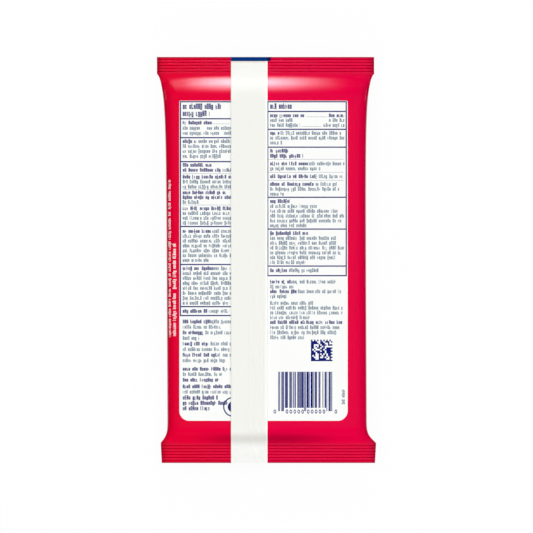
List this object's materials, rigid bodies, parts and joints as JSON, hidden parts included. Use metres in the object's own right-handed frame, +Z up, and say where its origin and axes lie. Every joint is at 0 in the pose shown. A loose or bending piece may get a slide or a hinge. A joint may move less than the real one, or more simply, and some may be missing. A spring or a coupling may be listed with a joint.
{
  "type": "wet wipes pack",
  "caption": "Flat soft pack of folded wet wipes in printed film, with a folded back fin seal, ribbed crimp seals at both ends and a peel-back reseal label on its front.",
  "frame": {"origin": "middle of the pack on the surface that it lies on, under the front face", "axes": "+X across the pack to the right as seen on its back, +Y along the pack towards its head seal, +Z up out of its back"},
  "size_m": [0.1064, 0.197, 0.0148],
  "materials": {
    "printed_film": "glossy red printed film with white fields, navy rules and a white back fin",
    "label_film": "satin white adhesive film"
  },
  "bodies": {
    "root": {"film_pack": "printed_film", "reseal_label": "label_film"}
  },
  "joints": []
}
